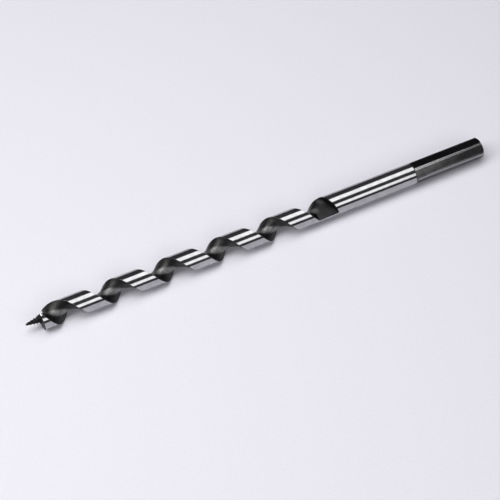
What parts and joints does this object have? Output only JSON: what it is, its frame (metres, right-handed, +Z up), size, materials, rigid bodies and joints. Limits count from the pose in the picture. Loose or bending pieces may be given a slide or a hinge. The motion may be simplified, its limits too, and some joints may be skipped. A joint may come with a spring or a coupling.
{
  "type": "auger bit",
  "caption": "Twisted half-round auger bit for boring wood, with a threaded lead screw, cutting lip at the nose, a plain round shank and a hexagonal drive end.",
  "frame": {"origin": "centre of the bit's footprint as it lies on a flat surface, on that surface", "axes": "+X along the bit from the screw point to the drive end, +Z up, +Y completing a right-handed frame"},
  "size_m": [0.235, 0.011, 0.011],
  "materials": {
    "bright_steel": "ground and polished",
    "black_steel": "black oxide",
    "dark_steel": "dark hardened scale, dull"
  },
  "bodies": {
    "root": {"twist_body": "bright_steel", "lead_screw": "black_steel", "lead_screw_set_screw": "black_steel", "hex_shank": "dark_steel"}
  },
  "joints": []
}
